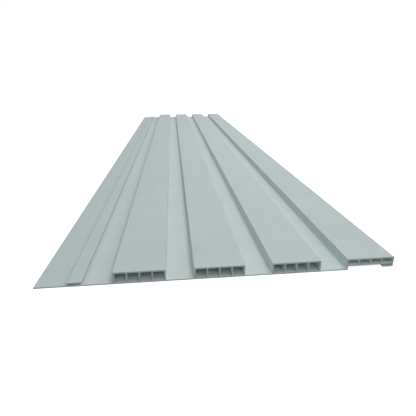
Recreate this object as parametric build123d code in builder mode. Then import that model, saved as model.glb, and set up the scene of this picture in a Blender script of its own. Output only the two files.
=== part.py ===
from build123d import *
import os

# Slat wall panel: one length of hollow extruded PVC, lying on its back.
# X runs across the panel, Y along its length and Z out of the wall, with the flat back on Z = 0.
# On the left is a thin flange with a lip; the last slat on the right is carried past the back sheet
# and has a hook under its edge. The next panel's hooked slat laps over the flange and grips the lip.
# All sizes are in millimetres.

# The whole panel
panel_length = 1200.0
panel_depth = 10.0
slat_count = 4
slat_pitch = 62.5
slat_width = 40.5

# Walls of the section
sheet_thickness = 1.0
skin_thickness = 1.2
web_thickness = 1.0
chambers_per_slat = 4

# The lap with the next panel
foot_thickness = 1.2
lip_thickness = 0.9
lip_riser_thickness = 1.0
lip_slot_depth = 10.0
hook_thickness = 1.2
hook_tip_clearance = 2.5
lap_expansion_gap = 2.5
lap_side_clearance = 0.3
lap_height_clearance = 0.1

# Rounded corners of the section
slat_edge_radius = 0.4
slat_root_radius = 0.3
chamber_corner_radius = 0.5
lap_edge_radius = 0.25

# The flange stops short of the next panel's foot by the expansion gap.
flange_width = slat_pitch - foot_thickness - lap_expansion_gap
last_slat_left = flange_width + (slat_count - 1) * slat_pitch
overall_width = last_slat_left + slat_width

# Heights in the lap, stacked up from the sheet: slot, lip, then the underside of the lapping slat.
lip_slot_height = hook_thickness + 2 * lap_height_clearance
lip_bottom = sheet_thickness + lip_slot_height
lip_top = lip_bottom + lip_thickness
lap_height = lip_top + 2 * lap_height_clearance
hook_bottom = sheet_thickness + lap_height_clearance

# The next panel's slat, where it laps over this flange, sets where the lip has to end.
lapping_slat_right = slat_width - foot_thickness - lap_expansion_gap
lip_end = lapping_slat_right - skin_thickness - lap_side_clearance
riser_left = lip_end - lip_slot_depth - lip_riser_thickness
hook_reach = skin_thickness + lap_side_clearance + lip_slot_depth - hook_tip_clearance

# Chambers of a plain slat, and the lower ones of the slat that laps over the next panel.
slat_inner_width = slat_width - 2 * skin_thickness
chamber_width = (slat_inner_width - (chambers_per_slat - 1) * web_thickness) / chambers_per_slat
chamber_step = chamber_width + web_thickness
chamber_height = panel_depth - sheet_thickness - skin_thickness
lap_chamber_height = panel_depth - skin_thickness - lap_height - skin_thickness
lap_inner_width = slat_width - foot_thickness - skin_thickness
lap_chamber_width = (lap_inner_width - (chambers_per_slat - 1) * web_thickness) / chambers_per_slat
lap_chamber_step = lap_chamber_width + web_thickness

low_left = (Align.MIN, Align.MIN)


def corner_at(sketch, across, height):
    """The corner of the section nearest to a place in it."""
    return sketch.vertices().sort_by_distance((across, height, 0))[0]


section_plane = Plane(origin=(-overall_width / 2, 0, 0), x_dir=(1, 0, 0), z_dir=(0, -1, 0))

with BuildPart() as panel:
    # The section: across the panel, seen from the front end.
    with BuildSketch(section_plane) as section:
        # Back sheet, from the flange's free edge to the far side of the last slat's foot.
        Rectangle(last_slat_left + foot_thickness, sheet_thickness, align=low_left)

        # Plain slats, standing on the sheet.
        for number in range(slat_count - 1):
            with Locations((flange_width + number * slat_pitch, 0)):
                Rectangle(slat_width, panel_depth, align=low_left)

        # Last slat: raised by the lap height, with its foot on the left and its hook on the right.
        with Locations((last_slat_left, lap_height)):
            Rectangle(slat_width, panel_depth - lap_height, align=low_left)
        with Locations((last_slat_left, 0)):
            Rectangle(foot_thickness, panel_depth, align=low_left)
        with Locations((overall_width - skin_thickness, hook_bottom)):
            Rectangle(skin_thickness, panel_depth - hook_bottom, align=low_left)
        with Locations((overall_width - hook_reach, hook_bottom)):
            Rectangle(hook_reach, hook_thickness, align=low_left)

        # Lip on the flange: a riser with a tongue that points at the first slat.
        with Locations((riser_left, 0)):
            Rectangle(lip_riser_thickness, lip_top, align=low_left)
        with Locations((riser_left, lip_bottom)):
            Rectangle(lip_end - riser_left, lip_thickness, align=low_left)

        # Front edges of every slat.
        slat_lefts = [flange_width + number * slat_pitch for number in range(slat_count)]
        front_edges = []
        for slat_left in slat_lefts:
            front_edges.append(corner_at(section, slat_left, panel_depth))
            front_edges.append(corner_at(section, slat_left + slat_width, panel_depth))
        fillet(front_edges, slat_edge_radius)

        # Roots of the slats on the sheet. The last slat has none on its right, where it is raised.
        roots = [corner_at(section, slat_left, sheet_thickness) for slat_left in slat_lefts]
        for slat_left in slat_lefts[:-1]:
            roots.append(corner_at(section, slat_left + slat_width, sheet_thickness))
        fillet(roots, slat_root_radius)

        # Edges that have to slide past each other in the lap: flange, lip and hook.
        lap_edges = [
            corner_at(section, 0, sheet_thickness),
            corner_at(section, riser_left, lip_top),
            corner_at(section, lip_end, lip_top),
            corner_at(section, lip_end, lip_bottom),
            corner_at(section, overall_width, hook_bottom),
            corner_at(section, overall_width - hook_reach, hook_bottom),
            corner_at(section, overall_width - hook_reach, hook_bottom + hook_thickness),
        ]
        fillet(lap_edges, lap_edge_radius)

        # Chambers of the plain slats.
        for number in range(slat_count - 1):
            chamber_left = flange_width + number * slat_pitch + skin_thickness
            for cell in range(chambers_per_slat):
                with Locations((chamber_left + cell * chamber_step, sheet_thickness)):
                    RectangleRounded(
                        chamber_width,
                        chamber_height,
                        chamber_corner_radius,
                        align=low_left,
                        mode=Mode.SUBTRACT,
                    )

        # Chambers of the last slat, which are shallower.
        for cell in range(chambers_per_slat):
            chamber_left = last_slat_left + foot_thickness + cell * lap_chamber_step
            with Locations((chamber_left, lap_height + skin_thickness)):
                RectangleRounded(
                    lap_chamber_width,
                    lap_chamber_height,
                    chamber_corner_radius,
                    align=low_left,
                    mode=Mode.SUBTRACT,
                )

    # The section runs the whole length, half to each side of the middle.
    extrude(amount=panel_length / 2, both=True)

panel.part.label = "slat_wall_panel"

os.makedirs("parts", exist_ok=True)
export_step(panel.part, "parts/slat_wall_panel.step")
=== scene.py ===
# %% [markdown]
# # A slat wall panel in extruded PVC
# This lesson dresses one length of hollow wall cladding: a thin back sheet with four raised slats,
# a lipped flange on the left and a hooked slat on the right. The real panel is pressed out of a
# die in one piece and sawn to length, so its shape is one section carried straight along. That
# section, with its chambers, lip, hook and rounded corners, comes in as a solid model at its real
# size, and its shape is right as it stands. What is left for Blender is what the eye reads on it:
# the plastic, the traces of the die and of the saw, the light, and the place where the camera
# stood.

# %% Load the solid model
import math

import bpy
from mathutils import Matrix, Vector


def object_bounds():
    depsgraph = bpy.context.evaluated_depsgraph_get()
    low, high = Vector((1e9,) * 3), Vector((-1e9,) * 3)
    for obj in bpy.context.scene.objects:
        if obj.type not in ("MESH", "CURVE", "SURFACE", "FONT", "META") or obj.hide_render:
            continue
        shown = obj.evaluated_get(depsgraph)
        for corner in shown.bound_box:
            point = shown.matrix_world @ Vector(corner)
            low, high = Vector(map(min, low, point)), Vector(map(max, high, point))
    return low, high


MM = 0.001


def size_in_mm(low, high):
    """The three sides of a box, in millimetres."""
    return [round((end - start) / MM, 1) for start, end in zip(low, high)]


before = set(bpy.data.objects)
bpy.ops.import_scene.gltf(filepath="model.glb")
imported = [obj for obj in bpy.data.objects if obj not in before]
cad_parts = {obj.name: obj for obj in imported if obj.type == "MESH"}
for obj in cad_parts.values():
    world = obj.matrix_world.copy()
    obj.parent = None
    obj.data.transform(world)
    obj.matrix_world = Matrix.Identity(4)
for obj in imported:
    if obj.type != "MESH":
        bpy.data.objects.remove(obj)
cad_low, cad_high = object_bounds()
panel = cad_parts["slat_wall_panel"]
print("panel box, mm:", size_in_mm(cad_low, cad_high))

# %% [markdown]
# ## The plastic: rigid PVC, coloured right through
# Rigid PVC leaves the die with a matt, slightly satiny skin. A picture of it could be wrapped
# round the panel, but the panel is over a metre long and a picture would blur or repeat. So the
# skin is worked out from the place on the panel in metres, which stays sharp at any distance and
# stays put in every view.
#
# A node tree is long-winded to write out, so one small function adds a node, fills in its settings
# and links what comes before it.


# %% A node with its settings and links
def add_node(tree, kind, settings=None, links=None):
    """Adds a node, sets its properties and sockets, and feeds its sockets from other nodes.

    A feed is an output socket, or a node, which then gives its first output.
    """
    node = tree.nodes.new(kind)
    for name, value in (settings or {}).items():
        if isinstance(name, str) and hasattr(node, name):
            setattr(node, name, value)
        else:
            node.inputs[name].default_value = value
    for name, feed in (links or {}).items():
        output = feed.outputs[0] if isinstance(feed, bpy.types.Node) else feed
        tree.links.new(output, node.inputs[name])
    return node


def empty_tree(owner):
    """The node tree of a material or a world, with nothing in it yet."""
    owner.use_nodes = True
    owner.node_tree.nodes.clear()
    return owner.node_tree


pvc = bpy.data.materials.new("extruded_grey_green_pvc")
tree = empty_tree(pvc)
print("plastic:", pvc.name)

# %% Where on the panel, and which way a face looks
place = add_node(tree, "ShaderNodeTexCoord").outputs["Object"]
place_axes = add_node(tree, "ShaderNodeSeparateXYZ", links={0: place})
facing = add_node(tree, "ShaderNodeNewGeometry").outputs["Normal"]
facing_axes = add_node(tree, "ShaderNodeSeparateXYZ", links={0: facing})
print("nodes so far:", len(tree.nodes))

# %% [markdown]
# ## Cloudy patches and die lines
# The melt isn't mixed perfectly, so the plastic has faint cloudy patches a few centimetres across.
# The die drags along the skin and leaves very fine lines, all running with the length. The lines
# could be modelled as grooves, but there are far too many and they are far too shallow for that.
# Noise does for both: as it comes for the patches, and drawn out along the panel for the lines.

# %% Cloudy patches and die lines
CLOUD_SIZE = 45 * MM
# Real die lines are a few hundredths of a millimetre apart. They are drawn coarser, so that they
# show.
DIE_LINE_SPACING = 1.6 * MM
DIE_LINE_LENGTH = 700 * MM

clouds = add_node(
    tree,
    "ShaderNodeTexNoise",
    {"Scale": 1 / CLOUD_SIZE, "Detail": 3.0, "Roughness": 0.55},
    {"Vector": place},
)
drawn_out = add_node(
    tree,
    "ShaderNodeMapping",
    {"Scale": (1 / DIE_LINE_SPACING, 1 / DIE_LINE_LENGTH, 1 / DIE_LINE_SPACING)},
    {"Vector": place},
)
die_lines = add_node(
    tree,
    "ShaderNodeTexNoise",
    {"Scale": 1.0, "Detail": 2.0, "Roughness": 0.5},
    {"Vector": drawn_out},
)
print("die lines every", round(DIE_LINE_SPACING / MM, 1), "mm")

# %% [markdown]
# ## Fronts, gaps and sawn ends
# The fronts and the flange keep the plain skin. Everything below the fronts to the right of the
# lip's free edge, which is the floors and walls of the gaps and the insides of the chambers, is
# painted a shade paler: painted light, for the light that the lit walls throw down into the gaps.
# The gap beside the lip gets only about half as much, which is painted shade where the light falls
# off towards the flange. The saw leaves the ends rough, and they are painted a darker tone, which
# is painted shade.
#
# Each kind of face could have a material of its own, but then the faces of the solid model would
# have to be picked out one by one. Their height, their place across the panel and the way they
# look tell them apart as well, so these become masks that are 1 on a kind of face and 0 elsewhere.

# %% Front faces, gaps and sawn ends
FRONT_LEVEL = 9.5 * MM
# Just inside the lip's free edge, so that its rounded corner is taken as part of the gap.
LIP_EDGE = -108.4 * MM
FIRST_SLAT_LEFT = -84.6 * MM
# How squarely a face has to look along the length to be taken as an end.
END_FACING = 0.9

on_front = add_node(
    tree,
    "ShaderNodeMath",
    {"operation": "GREATER_THAN", 1: FRONT_LEVEL},
    {0: place_axes.outputs["Z"]},
)
below_front = add_node(tree, "ShaderNodeMath", {"operation": "SUBTRACT", 0: 1.0}, {1: on_front})
past_lip = add_node(
    tree,
    "ShaderNodeMath",
    {"operation": "GREATER_THAN", 1: LIP_EDGE},
    {0: place_axes.outputs["X"]},
)
past_lip_gap = add_node(
    tree,
    "ShaderNodeMath",
    {"operation": "GREATER_THAN", 1: FIRST_SLAT_LEFT},
    {0: place_axes.outputs["X"]},
)
# Painted light goes on everything below the fronts to the right of the lip's free edge.
painted_light_area = add_node(tree, "ShaderNodeMath", {"operation": "MULTIPLY"}, {0: below_front, 1: past_lip})
along = add_node(tree, "ShaderNodeMath", {"operation": "ABSOLUTE"}, {0: facing_axes.outputs["Y"]})
on_end = add_node(tree, "ShaderNodeMath", {"operation": "GREATER_THAN", 1: END_FACING}, {0: along})
print("fronts lie", FRONT_LEVEL / MM, "mm or more above the back")

# %% [markdown]
# ## Sunken lines over the webs
# Where a web stands behind a front face, the thicker plastic shrinks more as it cools and leaves a
# sunken line. It could be drawn in the section, but it is only a few hundredths of a millimetre
# deep, and shows only where light grazes the slat. So the distance to the nearest web is worked
# out from the place across the panel, and a smooth dip is drawn round each web.

# %% Sunken lines over the webs
SLAT_PITCH = 62.5 * MM
CHAMBER_STEP = 9.775 * MM
SKIN_THICKNESS = 1.2 * MM
WEB_THICKNESS = 1.0 * MM
SINK_HALF_WIDTH = 1.8 * MM
# The webs' middles repeat at the chambers' step. Counted on to the right, the last of these places
# falls in the slat's own wall, this far in from its outer side.
FIRST_WEB_LINE = SKIN_THICKNESS - WEB_THICKNESS / 2

from_right = add_node(
    tree,
    "ShaderNodeMath",
    {"operation": "SUBTRACT", 0: cad_high.x},
    {1: place_axes.outputs["X"]},
)
in_pitch = add_node(
    tree,
    "ShaderNodeMath",
    {"operation": "MODULO", 1: SLAT_PITCH},
    {0: from_right},
)
past_wall = add_node(
    tree,
    "ShaderNodeMath",
    {"operation": "SUBTRACT", 1: FIRST_WEB_LINE},
    {0: in_pitch},
)
to_web = add_node(
    tree,
    "ShaderNodeMath",
    {"operation": "PINGPONG", 1: CHAMBER_STEP / 2},
    {0: past_wall},
)
sink_shape = add_node(
    tree,
    "ShaderNodeMapRange",
    {
        "interpolation_type": "SMOOTHERSTEP",
        "From Max": SINK_HALF_WIDTH,
        "To Min": 1.0,
        "To Max": 0.0,
    },
    {"Value": to_web},
)
sink = add_node(tree, "ShaderNodeMath", {"operation": "MULTIPLY"}, {0: sink_shape, 1: on_front})
print("web lines every", round(CHAMBER_STEP / MM, 3), "mm on each slat")

# %% [markdown]
# ## Tooth marks on the sawn ends
# The teeth of the blade leave fine slanting marks across the whole end. Straight even stripes
# would be the quick way to draw them, but a blade's marks are uneven. Noise that is turned to the
# slant and drawn out along it gives marks of many lengths and depths.

# %% Tooth marks on the sawn ends
TOOTH_MARK_SPACING = 0.9 * MM
TOOTH_MARK_LENGTH = 14 * MM
TOOTH_MARK_SLANT = math.radians(24)

slanted = add_node(
    tree,
    "ShaderNodeMapping",
    {
        "Rotation": (0.0, TOOTH_MARK_SLANT, 0.0),
        "Scale": (1 / TOOTH_MARK_SPACING, 1.0, 1 / TOOTH_MARK_LENGTH),
    },
    {"Vector": place},
)
tooth_marks = add_node(
    tree,
    "ShaderNodeTexNoise",
    {"Scale": 1.0, "Detail": 3.0, "Roughness": 0.6},
    {"Vector": slanted},
)
print("tooth marks every", round(TOOTH_MARK_SPACING / MM, 1), "mm")

# %% [markdown]
# ## Colour, roughness and relief
# The patterns and masks now come together. The skin's colour lies between a deep and a pale tone
# of one grey green. The gaps are pushed towards the pale tone as painted light, and the sawn ends
# have a darker tone of their own, which is painted shade. Colours are easiest to pick as sRGB hex
# codes, as on a paint card, but shader sockets want linear light, so one function turns one into
# the other.
#
# Lines, dips and marks are drawn as bump. It changes how the skin takes the light and leaves the
# solid model's mesh alone, which is enough for relief that is so much finer than the walls.


# %% Tones from hex codes
def linear_colour(hex_code):
    """An sRGB hex code as linear red, green and blue, with a full alpha."""
    channels = [int(hex_code[start:start + 2], 16) / 255 for start in (1, 3, 5)]
    # The sRGB curve is a short straight piece near black and a power above it.
    linear = [c / 12.92 if c <= 0.04045 else ((c + 0.055) / 1.055) ** 2.4 for c in channels]
    return (*linear, 1.0)


DEEP_TONE = linear_colour("#AFBBBB")
PALE_TONE = linear_colour("#C5D1D1")
# Painted shade: the sawn ends get a darker tone, so they stay dim under the softbox in front.
SAWN_PAINTED_SHADE_TONE = linear_colour("#9AA4A4")
print("deepest and palest green:", round(DEEP_TONE[1], 3), round(PALE_TONE[1], 3))

# %% Colour
# Noise runs from 0 to 1, but most of it lies between these two values.
NOISE_SPAN = {"From Min": 0.3, "From Max": 0.7}
# Shares of the way from the deep tone to the pale one
CLOUD_SHARE = 0.16
LINE_SHARE = 0.10
# Painted light in the gaps, and less of it beside the lip as painted shade towards the flange
GAP_PAINTED_LIGHT = 0.70
LIP_GAP_PAINTED_LIGHT = 0.40
# A mix node has a pair of sockets for each kind of value, so those for colours go by number.
COLOUR_A, COLOUR_B, COLOUR_RESULT = 6, 7, 2

cloud_shade = add_node(
    tree,
    "ShaderNodeMapRange",
    {**NOISE_SPAN, "To Max": CLOUD_SHARE},
    {"Value": clouds},
)
line_shade = add_node(
    tree,
    "ShaderNodeMapRange",
    {**NOISE_SPAN, "To Max": LINE_SHARE},
    {"Value": die_lines},
)
skin_shade = add_node(tree, "ShaderNodeMath", {"operation": "ADD"}, {0: cloud_shade, 1: line_shade})
# Painted light: how far the gaps are pushed towards the pale tone, less of it beside the lip
painted_gap_light = add_node(
    tree,
    "ShaderNodeMapRange",
    {"To Min": LIP_GAP_PAINTED_LIGHT, "To Max": GAP_PAINTED_LIGHT},
    {"Value": past_lip_gap},
)
shade = add_node(
    tree,
    "ShaderNodeMath",
    {"operation": "MULTIPLY_ADD"},
    {0: painted_light_area, 1: painted_gap_light, 2: skin_shade},
)
skin_colour = add_node(
    tree,
    "ShaderNodeMix",
    {"data_type": "RGBA", COLOUR_A: DEEP_TONE, COLOUR_B: PALE_TONE},
    {"Factor": shade},
).outputs[COLOUR_RESULT]
# The sawn ends take their darker tone, which is painted shade.
colour = add_node(
    tree,
    "ShaderNodeMix",
    {"data_type": "RGBA", COLOUR_B: SAWN_PAINTED_SHADE_TONE},
    {"Factor": on_end, COLOUR_A: skin_colour},
).outputs[COLOUR_RESULT]
print("gaps lie", GAP_PAINTED_LIGHT, "of the way to the pale tone, and", LIP_GAP_PAINTED_LIGHT, "beside the lip")

# %% Roughness
SMOOTHEST_SKIN, ROUGHEST_SKIN = 0.72, 0.80
SAWN_ROUGHNESS = 0.9
# The mix node's sockets for plain values
VALUE_A, VALUE_B = 2, 3

skin_roughness = add_node(
    tree,
    "ShaderNodeMapRange",
    {**NOISE_SPAN, "To Min": SMOOTHEST_SKIN, "To Max": ROUGHEST_SKIN},
    {"Value": die_lines},
)
roughness = add_node(
    tree,
    "ShaderNodeMix",
    {"data_type": "FLOAT", VALUE_B: SAWN_ROUGHNESS},
    {"Factor": on_end, VALUE_A: skin_roughness},
)
print("skin roughness from", SMOOTHEST_SKIN, "to", ROUGHEST_SKIN)

# %% Relief
# Heights are in millimetres, and the bump node's distance turns them into metres.
DIE_LINE_HEIGHT = 0.012
SINK_DEPTH = 0.03
TOOTH_MARK_HEIGHT = 0.05

drawn_relief = add_node(
    tree,
    "ShaderNodeMath",
    {"operation": "MULTIPLY", 1: DIE_LINE_HEIGHT},
    {0: die_lines},
)
skin_relief = add_node(
    tree,
    "ShaderNodeMath",
    {"operation": "MULTIPLY_ADD", 1: -SINK_DEPTH},
    {0: sink, 2: drawn_relief},
)
sawn_relief = add_node(
    tree,
    "ShaderNodeMath",
    {"operation": "MULTIPLY", 1: TOOTH_MARK_HEIGHT},
    {0: tooth_marks},
)
relief = add_node(
    tree,
    "ShaderNodeMix",
    {"data_type": "FLOAT"},
    {"Factor": on_end, VALUE_A: skin_relief, VALUE_B: sawn_relief},
)
bumped = add_node(tree, "ShaderNodeBump", {"Distance": MM}, {"Height": relief})
print("web lines sink", SINK_DEPTH, "mm")

# %% One shader, on the whole panel
PVC_IOR = 1.53
# The matt grain scatters most of the gloss, so less of it is left than smooth PVC would show.
PVC_GLOSS = 0.25

shader = add_node(
    tree,
    "ShaderNodeBsdfPrincipled",
    {"IOR": PVC_IOR, "Specular IOR Level": PVC_GLOSS},
    {"Base Color": colour, "Roughness": roughness, "Normal": bumped},
)
add_node(tree, "ShaderNodeOutputMaterial", links={"Surface": shader})
for slot in panel.material_slots:
    slot.material = pvc
print("plastic has", len(tree.nodes), "nodes, on", len(panel.material_slots), "slot")

# %% [markdown]
# ## The floor and the backdrop
# The panel lies on a plain pale floor in front of a white backdrop. A floor that is bright enough
# to look white would also throw a lot of light up at the sawn end, so the floor is only pale, and
# it is lifted to white for the eye alone. Its own light is added to what it receives, so the
# panel's shadow stays on it. The lamps light it well only round the panel, so it is lifted all the
# way to white further out.
#
# The backdrop is the world: white to the eye and in reflections, and a soft grey sky to the panel.

# %% Floor
FLOOR_REACH = 60.0
FLOOR_DROP = 0.2 * MM

bpy.ops.object.select_all(action="DESELECT")
bpy.ops.mesh.primitive_plane_add(size=2 * FLOOR_REACH, location=(0.0, 0.0, -FLOOR_DROP))
floor = bpy.context.object
floor.name = "floor"
print("floor reaches", FLOOR_REACH, "m each way")

# %% Floor paint, lifted to white for the eye
FLOOR_PALE = linear_colour("#C4C4C4")
FLOOR_LIFT = 0.84
LAMPLIT_REACH = 1.2
WHITE_REACH = 3.0


def rays_to_eye(tree):
    """A node that is 1 for what the camera sees and 0 for light.

    The camera sees straight, by reflection or through glass.
    """
    rays = add_node(tree, "ShaderNodeLightPath")
    straight_or_mirrored = add_node(
        tree,
        "ShaderNodeMath",
        {"operation": "MAXIMUM"},
        {0: rays.outputs["Is Camera Ray"], 1: rays.outputs["Is Glossy Ray"]},
    )
    return add_node(
        tree,
        "ShaderNodeMath",
        {"operation": "MAXIMUM"},
        {0: straight_or_mirrored, 1: rays.outputs["Is Transmission Ray"]},
    )


floor_paint = bpy.data.materials.new("pale_floor_paint")
tree = empty_tree(floor_paint)
floor_place = add_node(tree, "ShaderNodeTexCoord").outputs["Object"]
from_panel = add_node(tree, "ShaderNodeVectorMath", {"operation": "LENGTH"}, {0: floor_place})
full_lift = add_node(
    tree,
    "ShaderNodeMapRange",
    {"From Min": LAMPLIT_REACH, "From Max": WHITE_REACH, "To Min": FLOOR_LIFT, "To Max": 1.0},
    {"Value": from_panel.outputs["Value"]},
)
lift = add_node(
    tree,
    "ShaderNodeMath",
    {"operation": "MULTIPLY"},
    {0: full_lift, 1: rays_to_eye(tree)},
)
matt = add_node(tree, "ShaderNodeBsdfDiffuse", {"Color": FLOOR_PALE})
glow = add_node(tree, "ShaderNodeEmission", links={"Strength": lift})
both = add_node(tree, "ShaderNodeAddShader", links={0: matt, 1: glow})
add_node(tree, "ShaderNodeOutputMaterial", links={"Surface": both})
floor.data.materials.append(floor_paint)
print("floor is lifted by", FLOOR_LIFT, "as far as", LAMPLIT_REACH, "m from the panel's middle")

# %% Backdrop
WHITE = linear_colour("#FFFFFF")
SKY_LIGHT = 0.25

studio = bpy.data.worlds.new("studio")
bpy.context.scene.world = studio
tree = empty_tree(studio)
sky = add_node(tree, "ShaderNodeBackground", {"Color": WHITE, "Strength": SKY_LIGHT})
backdrop = add_node(tree, "ShaderNodeBackground", {"Color": WHITE, "Strength": 1.0})
mixed = add_node(tree, "ShaderNodeMixShader", links={0: rays_to_eye(tree), 1: sky, 2: backdrop})
add_node(tree, "ShaderNodeOutputWorld", links={"Surface": mixed})
print("sky gives", SKY_LIGHT, "of full white")

# %% [markdown]
# ## Light
# In the picture light comes down from above and from the right: it reaches in under the lip, the
# slats' left-hand sides are in soft shade, and the tone drops slowly towards the flange, but not
# along the length. A narrow strip light that hangs along the panel and a wide bank of lamps on the
# right do just that, and a weaker bank on the left fills the shade. The sawn end and the mouths of
# the chambers are lit from the camera's side, by a softbox behind it. A weaker one does the same
# for the far end.

# %% Lamps
# Sizes and places are in metres.
STRIP_SIZE = (2.4, 0.25)
BANK_SIZE = (3.0, 1.0)
BOX_SIZE = (0.8, 0.8)


def add_softbox(name, place, size, watts):
    """An area light that looks at the middle of the panel and isn't seen itself.

    The first side of its size lies level.
    """
    bpy.ops.object.light_add(type="AREA", location=place)
    box = bpy.context.object
    box.name = name
    box.data.shape = "RECTANGLE"
    box.data.size, box.data.size_y = size
    box.data.energy = watts
    box.rotation_euler = (-place).to_track_quat("-Z", "Y").to_euler()
    box.visible_camera = False
    return box


lights = [
    add_softbox("strip_above", Vector((0.15, 0.0, 0.55)), STRIP_SIZE, watts=3.8),
    add_softbox("bank_right", Vector((1.4, 0.0, 1.0)), BANK_SIZE, watts=9.5),
    add_softbox("bank_left", Vector((-1.2, 0.0, 0.9)), BANK_SIZE, watts=4.9),
    add_softbox("softbox_front", Vector((0.0, -2.0, 0.9)), BOX_SIZE, watts=7.1),
    add_softbox("softbox_back", Vector((0.0, 2.0, 0.9)), BOX_SIZE, watts=1.4),
]
print("lights:", [light.name for light in lights])

# %% [markdown]
# ## The camera
# The lens and the place of the camera follow from the picture's perspective: the corners of the
# slats at both ends of the panel fix them. It stands low, close to the near end and over the first
# gap, with a wide lens.

# %% Camera
CAMERA_PLACE = Vector((-33.85, -843.4, 149.7)) * MM
CAMERA_TURN = math.radians(6.50)
CAMERA_TILT = math.radians(20.35)
# Blender takes the lens and the sensor in millimetres, and the shift in widths of the picture.
CAMERA_LENS = 30.83
CAMERA_SENSOR = 36.0
CAMERA_SHIFT = (-0.016, 0.0008)
NEAREST_SEEN = 10 * MM
# A camera that isn't turned looks straight down, so a right angle makes it look level.
LEVEL = math.radians(90)

bpy.ops.object.camera_add(
    location=CAMERA_PLACE,
    rotation=(LEVEL - CAMERA_TILT, 0.0, -CAMERA_TURN),
)
camera = bpy.context.object
camera.data.lens = CAMERA_LENS
camera.data.sensor_width = CAMERA_SENSOR
camera.data.shift_x, camera.data.shift_y = CAMERA_SHIFT
camera.data.clip_start = NEAREST_SEEN
camera.data.clip_end = 2 * FLOOR_REACH
bpy.context.scene.camera = camera
bpy.context.scene.view_settings.view_transform = "Standard"
print("camera stands", round(camera.location.z / MM), "mm above the floor")
